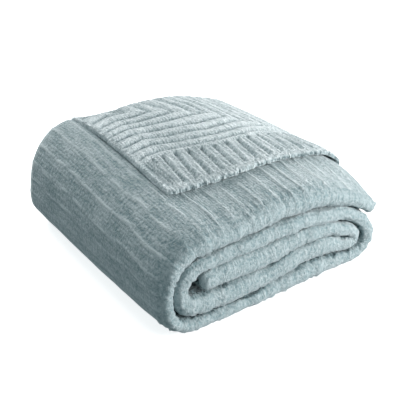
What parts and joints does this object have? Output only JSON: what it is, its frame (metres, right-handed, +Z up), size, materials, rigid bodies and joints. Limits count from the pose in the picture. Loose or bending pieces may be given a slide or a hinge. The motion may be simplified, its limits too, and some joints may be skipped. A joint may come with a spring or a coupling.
{
  "type": "folded chenille throw blanket",
  "caption": "Ribbed chenille throw blanket folded lengthwise, rolled flat into a soft bundle, one corner turned back over the top to show its ribbed side and hem.",
  "frame": {"origin": "centre of the bundle's footprint, on the surface it rests on", "axes": "+X along the layered end from the wide outer fold to the lip of the roll, +Y from the layered end to the back, +Z up"},
  "size_m": [0.3137, 0.3174, 0.1356],
  "materials": {
    "chenille": "matt pale grey-blue chenille with a short soft pile"
  },
  "bodies": {
    "root": {"throw": "chenille"}
  },
  "joints": []
}
